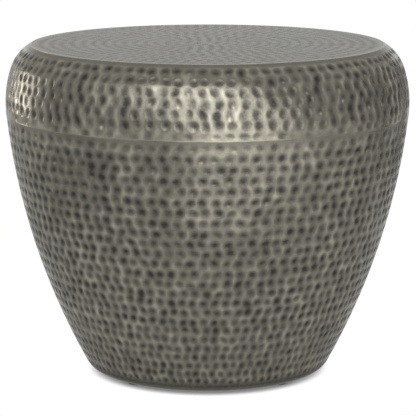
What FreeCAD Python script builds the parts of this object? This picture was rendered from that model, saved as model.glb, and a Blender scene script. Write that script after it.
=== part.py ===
import FreeCAD
import Part
import Sketcher
import math
import os

# A hollow drum side table of hammered sheet metal, standing on the floor with +Z up.
# The origin is at the middle of the floor contact. Lengths are in millimetres, angles in degrees.

SIZES = {
    # Outline of the drum.
    "table_height": 457.0,
    "table_width": 557.0,
    "shoulder_radius": 150.0,
    "crown_radius": 55.0,
    "wall_radius": 942.0,
    "base_corner_radius": 24.0,
    "seam_angle": 6.2,
    "crown_start_angle": 19.0,
    "crease_angle": 62.7,
    # Sheet and the two welds.
    "shell_sheet": 1.6,
    "top_sheet": 1.6,
    "seam_weld_width": 2.4,
    "seam_weld_proud": 0.4,
    "crown_weld_width": 1.6,
    # Ledge under the top and the cross brace below it.
    "ledge_width": 22.0,
    "brace_width": 25.0,
    "brace_thickness": 4.0,
    "brace_end_gap": 3.0,
    "joggle_gap": 3.0,
    "joggle_run": 6.0,
    "lap_clearance": 0.2,
    "rivet_radius": 2.5,
    "rivet_head_radius": 5.0,
    "rivet_tail_radius": 4.5,
    "rivet_tail_height": 2.2,
    "centre_rivet_head_height": 1.2,
    # Foot of the lower shell, its hoop and the four feet.
    "flange_width": 30.0,
    "base_ring_width": 24.0,
    "base_ring_thickness": 3.0,
    "ring_clearance": 0.5,
    "foot_angle": 45.0,
    "foot_pad_radius": 12.0,
    "foot_pad_height": 3.0,
    "foot_pad_chamfer": 0.6,
    "screw_radius": 2.0,
    "screw_head_radius": 4.0,
    "screw_end_length": 1.2,
    "hole_clearance": 0.2,
    "thread_clearance": 0.05,
    "washer_radius": 4.5,
    "washer_thickness": 0.8,
    "nut_corner_radius": 4.0,
    "nut_height": 3.2,
    # How far a cut runs past the metal it cuts.
    "cut_overrun": 2.0,
}

# Sizes that follow from the ones above. Heights are above the flat foot of the lower shell.
DERIVED = {
    "rim_height": "table_height - foot_pad_height",
    "crown_centre_height": "rim_height - crown_radius * sin(crease_angle)",
    "belly_height": "crown_centre_height - (shoulder_radius - crown_radius) * sin(crown_start_angle)",
    "shoulder_centre_radius": "table_width / 2 - shoulder_radius",
    "crown_start_height": "belly_height + shoulder_radius * sin(crown_start_angle)",
    "crown_centre_radius":
        "shoulder_centre_radius + (shoulder_radius - crown_radius) * cos(crown_start_angle)",
    "crease_radius": "crown_centre_radius + crown_radius * cos(crease_angle)",
    "seam_height": "belly_height - shoulder_radius * sin(seam_angle)",
    "seam_top_height": "seam_height + seam_weld_width",
    "seam_cap_width": "seam_weld_width / 2",
    "wall_centre_radius": "shoulder_centre_radius + (shoulder_radius - wall_radius) * cos(seam_angle)",
    "wall_centre_height": "belly_height - (shoulder_radius - wall_radius) * sin(seam_angle)",
    "corner_centre_radius":
        "wall_centre_radius + sqrt((wall_radius - base_corner_radius) ^ 2"
        " - (wall_centre_height - base_corner_radius) ^ 2)",
    "ledge_height": "rim_height - top_sheet",
    "ledge_under_height": "ledge_height - shell_sheet",
    "ledge_radius": "crease_radius - ledge_width",
    "top_disc_radius": "crease_radius - crown_weld_width",
    "brace_end": "crease_radius - brace_end_gap",
    "joggle_outer": "ledge_radius - joggle_gap",
    "joggle_inner": "joggle_outer - joggle_run",
    "brace_under_height": "ledge_height - brace_thickness",
    "brace_end_under_height": "ledge_under_height - brace_thickness",
    "lap_height": "ledge_height - brace_thickness / 2",
    "lap_half_width": "brace_width / 2 + lap_clearance",
    "lap_cut_under": "brace_under_height - cut_overrun",
    "rivet_circle": "crease_radius - ledge_width / 2",
    "ledge_cut_top": "ledge_height + cut_overrun",
    "rivet_cut_under": "ledge_under_height - cut_overrun",
    "rivet_tail_end": "brace_end_under_height - rivet_tail_height",
    "rivet_dome_radius": "(rivet_tail_radius ^ 2 + rivet_tail_height ^ 2) / (2 * rivet_tail_height)",
    "centre_head_under": "ledge_height - centre_rivet_head_height",
    "centre_cut_under": "lap_height - cut_overrun",
    "centre_tail_end": "brace_under_height - rivet_tail_height",
    "top_disc_start": "foot_pad_height + ledge_height",
    "flange_inner_radius": "corner_centre_radius - flange_width",
    "base_ring_outer_radius": "corner_centre_radius - ring_clearance",
    "base_ring_inner_radius": "base_ring_outer_radius - base_ring_width",
    "foot_circle": "base_ring_outer_radius - base_ring_width / 2",
    "base_ring_start": "foot_pad_height + shell_sheet",
    "screw_hole_radius": "screw_radius + hole_clearance",
    "screw_head_height": "screw_head_radius - screw_radius",
    "screw_head_start": "(foot_pad_height - screw_head_height) / 2",
    "screw_head_end": "screw_head_start + screw_head_height",
    "foot_pad_cone_end": "screw_head_end - hole_clearance",
    "foot_pad_face_radius": "foot_pad_radius - foot_pad_chamfer",
    "washer_start": "base_ring_start + base_ring_thickness",
    "nut_start": "washer_start + washer_thickness",
    "nut_bore_radius": "screw_radius + thread_clearance",
    "screw_end": "nut_start + nut_height + screw_end_length",
}

COUNT_OF_FEET = 4
COUNT_OF_BAR_ENDS = 4
SIDES_OF_NUT = 6
FULL_TURN = 360.0
QUARTER_TURN = 90.0
STRAIGHT_DOWN = -QUARTER_TURN

# Numbers by which a sketch knows a piece's points and its own two axes.
START, END, CENTRE = range(1, 4)
ACROSS_AXIS, UPRIGHT_AXIS = range(-1, -3, -1)
ORIGIN = (ACROSS_AXIS, START)

doc = FreeCAD.newDocument("drum_side_table")
sheet = doc.addObject("Spreadsheet::Sheet", "Sizes")


def fill_sheet():
    """Write the driving sizes as plain numbers and the derived ones as formulas, each with its alias."""
    cells = {alias: str(number) for alias, number in SIZES.items()}
    cells.update({alias: "=" + formula for alias, formula in DERIVED.items()})
    for row, (alias, content) in enumerate(cells.items(), start=1):
        sheet.set(f"A{row}", alias)
        sheet.set(f"B{row}", content)
        sheet.setAlias(f"B{row}", alias)
    doc.recompute()


def size(alias):
    """Return one size from the sheet as a number."""
    return float(sheet.get(alias))


def at(across, up):
    """Return the sketch point at two named sizes; None stands for the axis."""
    return FreeCAD.Vector(size(across) if across else 0, size(up) if up else 0, 0)


def swing(centre, radius, angle):
    """Return the point at an angle on a circle."""
    turn = math.radians(angle)
    return centre + FreeCAD.Vector(radius * math.cos(turn), radius * math.sin(turn), 0)


def new_body(label, base_height=None, turn=None):
    """Start a sub-part, raised by one named height and turned about the vertical by one named angle."""
    body = doc.addObject("PartDesign::Body", label)
    body.Label = label
    body.AllowCompound = True
    if base_height:
        body.setExpression(".Placement.Base.z", f"Sizes.{base_height}")
    if turn:
        body.setExpression(".Placement.Rotation.Angle", f"Sizes.{turn}")
    return body


def origin_feature(body, role):
    """Return one of a body's own planes or axes."""
    return next(item for item in body.Origin.OriginFeatures if item.Role == role)


def new_sketch(body, name, role):
    """Start a sketch on one of the body's own planes."""
    sketch = body.newObject("Sketcher::SketchObject", name)
    sketch.AttachmentSupport = (origin_feature(body, role), [""])
    sketch.MapMode = "FlatFace"
    return sketch


def add_line(sketch, start, end):
    """Draw a straight line."""
    return sketch.addGeometry(Part.LineSegment(start, end))


def add_arc(sketch, centre, radius, start_angle, end_angle):
    """Draw an arc anticlockwise between two angles."""
    circle = Part.Circle(centre, FreeCAD.Vector(0, 0, 1), radius)
    return sketch.addGeometry(Part.ArcOfCircle(circle, math.radians(start_angle), math.radians(end_angle)))


def add_circle(sketch, across, radius):
    """Draw a circle of one named radius whose centre lies on the sketch's across axis."""
    centre = at(across, None)
    circle = sketch.addGeometry(Part.Circle(centre, FreeCAD.Vector(0, 0, 1), size(radius)))
    if across:
        sketch.addConstraint(Sketcher.Constraint("PointOnObject", circle, CENTRE, ACROSS_AXIS))
        set_across(sketch, circle, CENTRE, across)
    else:
        sketch.addConstraint(Sketcher.Constraint("Coincident", circle, CENTRE, *ORIGIN))
    set_radius(sketch, circle, f"Sizes.{radius}")
    return circle


def join(sketch, *pairs):
    """Make the end points of neighbouring pieces meet."""
    for first, second in pairs:
        sketch.addConstraint(Sketcher.Constraint("Coincident", *first, *second))


def join_smooth(sketch, *pairs):
    """Make the end points of neighbouring pieces meet without a corner."""
    for first, second in pairs:
        sketch.addConstraint(Sketcher.Constraint("Tangent", *first, *second))


def share_centre(sketch, *pairs):
    """Give pairs of arcs one centre."""
    for first, second in pairs:
        sketch.addConstraint(Sketcher.Constraint("Coincident", first, CENTRE, second, CENTRE))


def level(sketch, *lines):
    """Make lines run across."""
    for line in lines:
        sketch.addConstraint(Sketcher.Constraint("Horizontal", line))


def upright(sketch, *lines):
    """Make lines run up."""
    for line in lines:
        sketch.addConstraint(Sketcher.Constraint("Vertical", line))


def square_to(sketch, arc, line):
    """Make a line point at an arc's centre, so that it cuts the sheet squarely."""
    sketch.addConstraint(Sketcher.Constraint("PointOnObject", arc, CENTRE, line))


def set_radius(sketch, piece, formula):
    """Set the radius of an arc or circle."""
    radius = sketch.Geometry[piece].Radius
    index = sketch.addConstraint(Sketcher.Constraint("Radius", piece, radius))
    sketch.setExpression(f"Constraints[{index}]", formula)


def set_across(sketch, piece, point, alias):
    """Set how far a point lies from the upright axis."""
    index = sketch.addConstraint(
        Sketcher.Constraint("DistanceX", *ORIGIN, piece, point, sketch.getPoint(piece, point).x))
    sketch.setExpression(f"Constraints[{index}]", f"Sizes.{alias}")


def set_up(sketch, piece, point, alias):
    """Set how far a point lies above the sketch's across axis."""
    index = sketch.addConstraint(
        Sketcher.Constraint("DistanceY", *ORIGIN, piece, point, sketch.getPoint(piece, point).y))
    sketch.setExpression(f"Constraints[{index}]", f"Sizes.{alias}")


def set_length(sketch, line, alias):
    """Set the length of a line."""
    index = sketch.addConstraint(Sketcher.Constraint("Distance", line, size(alias)))
    sketch.setExpression(f"Constraints[{index}]", f"Sizes.{alias}")


def set_gap(sketch, piece, point, line, alias):
    """Set how far a point lies from a line, on the side where it was drawn."""
    index = sketch.addConstraint(Sketcher.Constraint("Distance", piece, point, line, size(alias)))
    sketch.setExpression(f"Constraints[{index}]", f"Sizes.{alias}")


def add_polygon(sketch, corners):
    """Draw a closed outline of straight lines whose corners are pairs of named sizes, and set each one."""
    points = [at(*corner) for corner in corners]
    lines = [add_line(sketch, points[i], points[(i + 1) % len(points)]) for i in range(len(points))]
    for i, line in enumerate(lines):
        join(sketch, ((line, END), (lines[(i + 1) % len(lines)], START)))
    for line, (across, up) in zip(lines, corners):
        if across:
            set_across(sketch, line, START, across)
        else:
            sketch.addConstraint(Sketcher.Constraint("DistanceX", *ORIGIN, line, START, 0))
        if up:
            set_up(sketch, line, START, up)
        else:
            sketch.addConstraint(Sketcher.Constraint("DistanceY", *ORIGIN, line, START, 0))
    return lines


def add_centred_rectangle(sketch, half_width, low, high):
    """Draw a rectangle that the upright axis halves."""
    right_low, right_high = at(half_width, low), at(half_width, high)
    left_low = FreeCAD.Vector(-right_low.x, right_low.y, 0)
    left_high = FreeCAD.Vector(-right_high.x, right_high.y, 0)
    corners = [left_low, right_low, right_high, left_high]
    lines = [add_line(sketch, corners[i - 1], corners[i]) for i in range(len(corners))]
    left, bottom, right, top = lines
    join(
        sketch,
        ((left, END), (bottom, START)), ((bottom, END), (right, START)),
        ((right, END), (top, START)), ((top, END), (left, START)))
    level(sketch, top)
    upright(sketch, left, right)
    sketch.addConstraint(Sketcher.Constraint("Symmetric", bottom, START, bottom, END, UPRIGHT_AXIS))
    set_across(sketch, bottom, END, half_width)
    set_up(sketch, bottom, END, low)
    set_up(sketch, top, START, high)


def revolve(body, name, sketch):
    """Turn a section fully round the sketch's upright axis."""
    feature = body.newObject("PartDesign::Revolution", name)
    feature.Profile = sketch
    feature.ReferenceAxis = (sketch, ["V_Axis"])
    feature.Angle = FULL_TURN
    doc.recompute()
    return feature


def pad(body, name, sketch, length, both_ways=False):
    """Raise a sketch by one named length."""
    feature = body.newObject("PartDesign::Pad", name)
    feature.Profile = sketch
    feature.setExpression("Length", f"Sizes.{length}")
    feature.Midplane = both_ways
    doc.recompute()
    return feature


def pocket_through(body, name, sketch, both_ways=False):
    """Cut a sketch through the whole body, upwards or both ways, and make sure that it cuts."""
    volume_before = body.Shape.Volume
    feature = body.newObject("PartDesign::Pocket", name)
    feature.Profile = sketch
    feature.Type = "ThroughAll"
    feature.Midplane = both_ways
    feature.Reversed = not both_ways
    doc.recompute()
    if not feature.Shape.Volume < volume_before:
        raise RuntimeError(f"{body.Label}: {name} cuts nothing")
    return feature


def repeat_round(body, name, feature, count):
    """Repeat a feature evenly round the vertical axis."""
    pattern = body.newObject("PartDesign::PolarPattern", name)
    pattern.Originals = [feature]
    pattern.Axis = (origin_feature(body, "Z_Axis"), [""])
    pattern.Angle = FULL_TURN
    pattern.Occurrences = count
    body.Tip = pattern
    doc.recompute()
    return pattern


def groove(body, name, sketch):
    """Cut a section turned fully round the sketch's upright axis, and make sure that it cuts."""
    volume_before = body.Shape.Volume
    feature = body.newObject("PartDesign::Groove", name)
    feature.Profile = sketch
    feature.ReferenceAxis = (sketch, ["V_Axis"])
    feature.Angle = FULL_TURN
    doc.recompute()
    if not feature.Shape.Volume < volume_before:
        raise RuntimeError(f"{body.Label}: {name} cuts nothing")
    return feature


def section_at(body, name, across):
    """Start an upright sketch whose own axis stands at a named distance from the middle."""
    sketch = new_sketch(body, name, "XZ_Plane")
    if across:
        sketch.setExpression("AttachmentOffset.Base.x", f"Sizes.{across}")
    return sketch


def countersink(body, name, across, under, head_under, head_top, top):
    """Cut a flush rivet's seat: a straight hole that opens to the head's cone."""
    sketch = section_at(body, name + "_section", across)
    add_polygon(sketch, [
        (None, under), ("rivet_radius", under), ("rivet_radius", head_under),
        ("rivet_head_radius", head_top), ("rivet_head_radius", top), (None, top)])
    return groove(body, name, sketch)


def make_shoulder_shell():
    """The upper shell: shoulder, crown, and the joggled ledge that the top lies on."""
    body = new_body("shoulder_shell", "foot_pad_height")
    sketch = new_sketch(body, "shoulder_section", "XZ_Plane")
    shoulder_centre = at("shoulder_centre_radius", "belly_height")
    crown_centre = at("crown_centre_radius", "crown_centre_height")
    shoulder_inside = size("shoulder_radius") - size("shell_sheet")
    crown_inside = size("crown_radius") - size("shell_sheet")
    crown_start = size("crown_start_angle")
    seam_drop = size("belly_height") - size("seam_top_height")
    seam_end = -math.degrees(math.asin(seam_drop / size("shoulder_radius")))
    ledge_rise = size("ledge_under_height") - size("crown_centre_height")
    ledge_end = math.degrees(math.asin(ledge_rise / crown_inside))

    outer_shoulder = add_arc(sketch, shoulder_centre, size("shoulder_radius"), seam_end, crown_start)
    outer_crown = add_arc(sketch, crown_centre, size("crown_radius"), crown_start, size("crease_angle"))
    rebate = add_line(sketch, at("crease_radius", "rim_height"), at("crease_radius", "ledge_height"))
    ledge_top = add_line(sketch, at("crease_radius", "ledge_height"), at("ledge_radius", "ledge_height"))
    ledge_edge = add_line(
        sketch, at("ledge_radius", "ledge_height"), at("ledge_radius", "ledge_under_height"))
    ledge_under = add_line(
        sketch, at("ledge_radius", "ledge_under_height"), swing(crown_centre, crown_inside, ledge_end))
    inner_crown = add_arc(sketch, crown_centre, crown_inside, crown_start, ledge_end)
    inner_shoulder = add_arc(sketch, shoulder_centre, shoulder_inside, seam_end, crown_start)
    seam_edge = add_line(
        sketch, swing(shoulder_centre, shoulder_inside, seam_end),
        swing(shoulder_centre, size("shoulder_radius"), seam_end))

    join_smooth(
        sketch,
        ((outer_shoulder, END), (outer_crown, START)),
        ((inner_shoulder, END), (inner_crown, START)))
    join(
        sketch,
        ((outer_crown, END), (rebate, START)),
        ((rebate, END), (ledge_top, START)),
        ((ledge_top, END), (ledge_edge, START)),
        ((ledge_edge, END), (ledge_under, START)),
        ((ledge_under, END), (inner_crown, END)),
        ((inner_shoulder, START), (seam_edge, START)),
        ((seam_edge, END), (outer_shoulder, START)))
    share_centre(sketch, (inner_shoulder, outer_shoulder), (inner_crown, outer_crown))
    level(sketch, ledge_top, ledge_under)
    upright(sketch, rebate, ledge_edge)
    square_to(sketch, outer_shoulder, seam_edge)
    set_radius(sketch, outer_shoulder, "Sizes.shoulder_radius")
    set_radius(sketch, outer_crown, "Sizes.crown_radius")
    set_radius(sketch, inner_shoulder, "Sizes.shoulder_radius - Sizes.shell_sheet")
    set_across(sketch, outer_shoulder, CENTRE, "shoulder_centre_radius")
    set_up(sketch, outer_shoulder, CENTRE, "belly_height")
    set_up(sketch, outer_shoulder, START, "seam_top_height")
    set_up(sketch, outer_shoulder, END, "crown_start_height")
    set_up(sketch, outer_crown, END, "rim_height")
    set_up(sketch, ledge_top, START, "ledge_height")
    set_up(sketch, ledge_under, START, "ledge_under_height")
    set_across(sketch, ledge_edge, START, "ledge_radius")
    revolve(body, "shoulder_sheet", sketch)

    seat = countersink(
        body, "rivet_seat", "rivet_circle",
        "rivet_cut_under", "ledge_under_height", "ledge_height", "ledge_cut_top")
    repeat_round(body, "rivet_seats", seat, COUNT_OF_BAR_ENDS)
    return body


def make_lower_shell():
    """The long wall, its rounded foot and the in-turned flange that takes the feet."""
    body = new_body("lower_shell", "foot_pad_height", "foot_angle")
    sketch = new_sketch(body, "wall_section", "XZ_Plane")
    shoulder_centre = at("shoulder_centre_radius", "belly_height")
    wall_centre = at("wall_centre_radius", "wall_centre_height")
    corner_centre = at("corner_centre_radius", "base_corner_radius")
    wall_inside = size("wall_radius") - size("shell_sheet")
    corner_inside = size("base_corner_radius") - size("shell_sheet")
    seam_end = -size("seam_angle")
    wall_drop = size("wall_centre_height") - size("base_corner_radius")
    wall_end = -math.degrees(math.asin(wall_drop / (size("wall_radius") - size("base_corner_radius"))))

    shoulder_line = add_arc(sketch, shoulder_centre, size("shoulder_radius"), seam_end, 0)
    sketch.setConstruction(shoulder_line, True)
    outer_wall = add_arc(sketch, wall_centre, size("wall_radius"), wall_end, seam_end)
    outer_corner = add_arc(sketch, corner_centre, size("base_corner_radius"), STRAIGHT_DOWN, wall_end)
    flange_under = add_line(sketch, at("corner_centre_radius", None), at("flange_inner_radius", None))
    flange_edge = add_line(sketch, at("flange_inner_radius", None), at("flange_inner_radius", "shell_sheet"))
    flange_top = add_line(
        sketch, at("flange_inner_radius", "shell_sheet"), at("corner_centre_radius", "shell_sheet"))
    inner_corner = add_arc(sketch, corner_centre, corner_inside, STRAIGHT_DOWN, wall_end)
    inner_wall = add_arc(sketch, wall_centre, wall_inside, wall_end, seam_end)
    seam_edge = add_line(
        sketch, swing(wall_centre, wall_inside, seam_end), swing(wall_centre, size("wall_radius"), seam_end))

    join_smooth(
        sketch,
        ((shoulder_line, START), (outer_wall, END)),
        ((outer_wall, START), (outer_corner, END)),
        ((outer_corner, START), (flange_under, START)),
        ((flange_top, END), (inner_corner, START)),
        ((inner_corner, END), (inner_wall, START)))
    join(
        sketch,
        ((flange_under, END), (flange_edge, START)),
        ((flange_edge, END), (flange_top, START)),
        ((inner_wall, END), (seam_edge, START)),
        ((seam_edge, END), (outer_wall, END)))
    share_centre(sketch, (inner_wall, outer_wall), (inner_corner, outer_corner))
    level(sketch, flange_under, flange_top)
    upright(sketch, flange_edge)
    square_to(sketch, outer_wall, seam_edge)
    sketch.addConstraint(Sketcher.Constraint("PointOnObject", flange_under, START, ACROSS_AXIS))
    set_radius(sketch, shoulder_line, "Sizes.shoulder_radius")
    set_radius(sketch, outer_wall, "Sizes.wall_radius")
    set_radius(sketch, outer_corner, "Sizes.base_corner_radius")
    set_radius(sketch, inner_wall, "Sizes.wall_radius - Sizes.shell_sheet")
    set_across(sketch, shoulder_line, CENTRE, "shoulder_centre_radius")
    set_up(sketch, shoulder_line, CENTRE, "belly_height")
    set_up(sketch, shoulder_line, END, "belly_height")
    set_up(sketch, outer_wall, END, "seam_height")
    set_across(sketch, flange_edge, START, "flange_inner_radius")
    revolve(body, "wall_sheet", sketch)

    hole_sketch = new_sketch(body, "screw_hole_circle", "XY_Plane")
    add_circle(hole_sketch, "foot_circle", "screw_hole_radius")
    hole = pocket_through(body, "screw_hole", hole_sketch)
    repeat_round(body, "screw_holes", hole, COUNT_OF_FEET)
    return body


def make_seam_weld():
    """The filler ring between the two shells, with a low cap dressed flat."""
    body = new_body("seam_weld", "foot_pad_height")
    sketch = new_sketch(body, "seam_weld_section", "XZ_Plane")
    centre = at("shoulder_centre_radius", "belly_height")
    outside = size("shoulder_radius")
    inside = outside - size("shell_sheet")
    crest = outside + size("seam_weld_proud")
    low = -size("seam_angle")
    high = -math.degrees(math.asin((size("belly_height") - size("seam_top_height")) / outside))
    cap_low = low + (high - low) / 4
    cap_high = high - (high - low) / 4

    sheet_line = add_arc(sketch, centre, outside, low, high)
    sheet_chord = add_line(sketch, swing(centre, outside, low), swing(centre, outside, high))
    sketch.setConstruction(sheet_line, True)
    sketch.setConstruction(sheet_chord, True)
    root = add_line(sketch, swing(centre, inside, high), swing(centre, inside, low))
    low_side = add_line(sketch, swing(centre, inside, low), swing(centre, outside, low))
    low_bevel = add_line(sketch, swing(centre, outside, low), swing(centre, crest, cap_low))
    cap = add_line(sketch, swing(centre, crest, cap_low), swing(centre, crest, cap_high))
    high_bevel = add_line(sketch, swing(centre, crest, cap_high), swing(centre, outside, high))
    high_side = add_line(sketch, swing(centre, outside, high), swing(centre, inside, high))
    join(
        sketch,
        ((root, END), (low_side, START)),
        ((low_side, END), (low_bevel, START)),
        ((low_bevel, END), (cap, START)),
        ((cap, END), (high_bevel, START)),
        ((high_bevel, END), (high_side, START)),
        ((high_side, END), (root, START)),
        ((sheet_line, START), (low_bevel, START)),
        ((sheet_line, END), (high_bevel, END)),
        ((sheet_chord, START), (low_bevel, START)),
        ((sheet_chord, END), (high_bevel, END)))
    square_to(sketch, sheet_line, low_side)
    square_to(sketch, sheet_line, high_side)
    sketch.addConstraint(Sketcher.Constraint("Parallel", cap, sheet_chord))
    sketch.addConstraint(Sketcher.Constraint("Equal", low_bevel, high_bevel))
    sketch.addConstraint(Sketcher.Constraint("Equal", low_side, high_side))
    set_radius(sketch, sheet_line, "Sizes.shoulder_radius")
    set_across(sketch, sheet_line, CENTRE, "shoulder_centre_radius")
    set_up(sketch, sheet_line, CENTRE, "belly_height")
    set_up(sketch, sheet_line, START, "seam_height")
    set_up(sketch, sheet_line, END, "seam_top_height")
    set_length(sketch, low_side, "shell_sheet")
    set_length(sketch, cap, "seam_cap_width")
    set_gap(sketch, cap, START, sheet_chord, "seam_weld_proud")
    revolve(body, "seam_bead", sketch)
    return body


def make_top_disc():
    """The flat round top, flush with the crease."""
    body = new_body("top_disc", "top_disc_start")
    sketch = new_sketch(body, "top_circle", "XY_Plane")
    add_circle(sketch, None, "top_disc_radius")
    pad(body, "top_plate", sketch, "top_sheet")
    return body


def make_crown_weld():
    """The filler ring between the top's edge and the crease, dressed flush."""
    body = new_body("crown_weld", "foot_pad_height")
    sketch = new_sketch(body, "crown_weld_section", "XZ_Plane")
    add_polygon(sketch, [
        ("top_disc_radius", "ledge_height"), ("crease_radius", "ledge_height"),
        ("crease_radius", "rim_height"), ("top_disc_radius", "rim_height")])
    revolve(body, "crown_bead", sketch)
    return body


def make_brace_bar(label, lap_low, lap_high, turn):
    """One flat bar of the cross: its middle bears on the top, its joggled ends lie under the ledge."""
    body = new_body(label, "foot_pad_height")
    body.Placement.Rotation = FreeCAD.Rotation(FreeCAD.Vector(0, 0, 1), turn)
    side = new_sketch(body, "half_side", "XZ_Plane")
    add_polygon(side, [
        (None, "brace_under_height"), ("joggle_inner", "brace_under_height"),
        ("joggle_outer", "brace_end_under_height"), ("brace_end", "brace_end_under_height"),
        ("brace_end", "ledge_under_height"), ("joggle_outer", "ledge_under_height"),
        ("joggle_inner", "ledge_height"), (None, "ledge_height")])
    half = pad(body, "half_bar", side, "brace_width", both_ways=True)
    hole_sketch = new_sketch(body, "end_hole_circle", "XY_Plane")
    add_circle(hole_sketch, "rivet_circle", "rivet_radius")
    hole = pocket_through(body, "end_hole", hole_sketch)
    mirror = body.newObject("PartDesign::Mirrored", "both_halves")
    mirror.Originals = [half, hole]
    mirror.MirrorPlane = (origin_feature(body, "YZ_Plane"), [""])
    body.Tip = mirror
    doc.recompute()
    lap_sketch = new_sketch(body, "lap_outline", "XZ_Plane")
    add_centred_rectangle(lap_sketch, "lap_half_width", lap_low, lap_high)
    pocket_through(body, "lap", lap_sketch, both_ways=True)
    return body


def add_rivet(body, name, across, head_under, grip_end, tail_end):
    """Turn one rivet: a flush cone head, the shank and the domed tail."""
    sketch = section_at(body, name + "_section", across)
    dome_centre = FreeCAD.Vector(0, size(tail_end) + size("rivet_dome_radius"), 0)
    dome_spread = math.degrees(math.asin(size("rivet_tail_radius") / size("rivet_dome_radius")))
    dome = add_arc(sketch, dome_centre, size("rivet_dome_radius"), STRAIGHT_DOWN, STRAIGHT_DOWN + dome_spread)
    tail_face = add_line(sketch, at("rivet_tail_radius", grip_end), at("rivet_radius", grip_end))
    shank = add_line(sketch, at("rivet_radius", grip_end), at("rivet_radius", head_under))
    cone = add_line(sketch, at("rivet_radius", head_under), at("rivet_head_radius", "ledge_height"))
    head_face = add_line(sketch, at("rivet_head_radius", "ledge_height"), at(None, "ledge_height"))
    core = add_line(sketch, at(None, "ledge_height"), at(None, tail_end))
    join(
        sketch,
        ((dome, END), (tail_face, START)), ((tail_face, END), (shank, START)),
        ((shank, END), (cone, START)), ((cone, END), (head_face, START)),
        ((head_face, END), (core, START)), ((core, END), (dome, START)))
    level(sketch, tail_face, head_face)
    upright(sketch, shank)
    for point in ((core, START), (core, END), (dome, CENTRE)):
        sketch.addConstraint(Sketcher.Constraint("PointOnObject", *point, UPRIGHT_AXIS))
    set_across(sketch, tail_face, START, "rivet_tail_radius")
    set_across(sketch, shank, START, "rivet_radius")
    set_across(sketch, head_face, START, "rivet_head_radius")
    set_up(sketch, tail_face, START, grip_end)
    set_up(sketch, shank, END, head_under)
    set_up(sketch, head_face, START, "ledge_height")
    set_up(sketch, core, END, tail_end)
    return revolve(body, name, sketch)


def make_brace_rivets():
    """The four rivets that hold the bar ends to the ledge."""
    body = new_body("brace_rivets", "foot_pad_height")
    rivet = add_rivet(
        body, "rivet", "rivet_circle", "ledge_under_height", "brace_end_under_height", "rivet_tail_end")
    repeat_round(body, "rivets", rivet, COUNT_OF_BAR_ENDS)
    return body


def make_brace_centre_rivet():
    """The rivet through the half-lap of the two bars."""
    body = new_body("brace_centre_rivet", "foot_pad_height")
    add_rivet(body, "rivet", None, "centre_head_under", "brace_under_height", "centre_tail_end")
    return body


def make_base_ring():
    """The flat hoop on the flange, drilled for the foot screws."""
    body = new_body("base_ring", "base_ring_start", "foot_angle")
    sketch = new_sketch(body, "ring_circles", "XY_Plane")
    add_circle(sketch, None, "base_ring_outer_radius")
    add_circle(sketch, None, "base_ring_inner_radius")
    pad(body, "ring_plate", sketch, "base_ring_thickness")
    hole_sketch = new_sketch(body, "screw_hole_circle", "XY_Plane")
    add_circle(hole_sketch, "foot_circle", "screw_hole_radius")
    hole = pocket_through(body, "screw_hole", hole_sketch)
    repeat_round(body, "screw_holes", hole, COUNT_OF_FEET)
    return body


def make_foot_pad(number):
    """One low rubber pad with a seat for its countersunk screw."""
    body = new_body(f"foot_pad_{number}")
    turn = f"(Sizes.foot_angle + {number - 1} * {FULL_TURN} / {COUNT_OF_FEET})"
    body.setExpression(".Placement.Base.x", f"Sizes.foot_circle * cos({turn})")
    body.setExpression(".Placement.Base.y", f"Sizes.foot_circle * sin({turn})")
    sketch = new_sketch(body, "pad_section", "XZ_Plane")
    add_polygon(sketch, [
        ("screw_hole_radius", "foot_pad_cone_end"), ("screw_head_radius", "screw_head_start"),
        ("screw_head_radius", None), ("foot_pad_face_radius", None),
        ("foot_pad_radius", "foot_pad_chamfer"), ("foot_pad_radius", "foot_pad_height"),
        ("screw_hole_radius", "foot_pad_height")])
    revolve(body, "pad", sketch)
    return body


def make_foot_screws():
    """The four countersunk screws, heads down in the pads."""
    body = new_body("foot_screws", turn="foot_angle")
    sketch = section_at(body, "screw_section", "foot_circle")
    add_polygon(sketch, [
        (None, "screw_head_start"), ("screw_head_radius", "screw_head_start"),
        ("screw_radius", "screw_head_end"), ("screw_radius", "screw_end"), (None, "screw_end")])
    screw = revolve(body, "screw", sketch)
    repeat_round(body, "screws", screw, COUNT_OF_FEET)
    return body


def make_foot_washers():
    """The four washers on the hoop."""
    body = new_body("foot_washers", "washer_start", "foot_angle")
    sketch = new_sketch(body, "washer_circles", "XY_Plane")
    add_circle(sketch, "foot_circle", "washer_radius")
    add_circle(sketch, "foot_circle", "screw_hole_radius")
    washer = pad(body, "washer", sketch, "washer_thickness")
    repeat_round(body, "washers", washer, COUNT_OF_FEET)
    return body


def make_foot_nuts():
    """The four hexagon nuts on the washers."""
    body = new_body("foot_nuts", "nut_start", "foot_angle")
    sketch = new_sketch(body, "nut_outline", "XY_Plane")
    corner_circle = add_circle(sketch, "foot_circle", "nut_corner_radius")
    sketch.setConstruction(corner_circle, True)
    centre = at("foot_circle", None)
    step = FULL_TURN / SIDES_OF_NUT
    corners = [swing(centre, size("nut_corner_radius"), step * i) for i in range(SIDES_OF_NUT)]
    sides = [add_line(sketch, corners[i], corners[(i + 1) % SIDES_OF_NUT]) for i in range(SIDES_OF_NUT)]
    for i, side in enumerate(sides):
        join(sketch, ((side, END), (sides[(i + 1) % SIDES_OF_NUT], START)))
        sketch.addConstraint(Sketcher.Constraint("PointOnObject", side, START, corner_circle))
    for side in sides[1:]:
        sketch.addConstraint(Sketcher.Constraint("Equal", sides[0], side))
    sketch.addConstraint(Sketcher.Constraint("PointOnObject", sides[0], START, ACROSS_AXIS))
    add_circle(sketch, "foot_circle", "nut_bore_radius")
    nut = pad(body, "nut", sketch, "nut_height")
    repeat_round(body, "nuts", nut, COUNT_OF_FEET)
    return body


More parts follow.
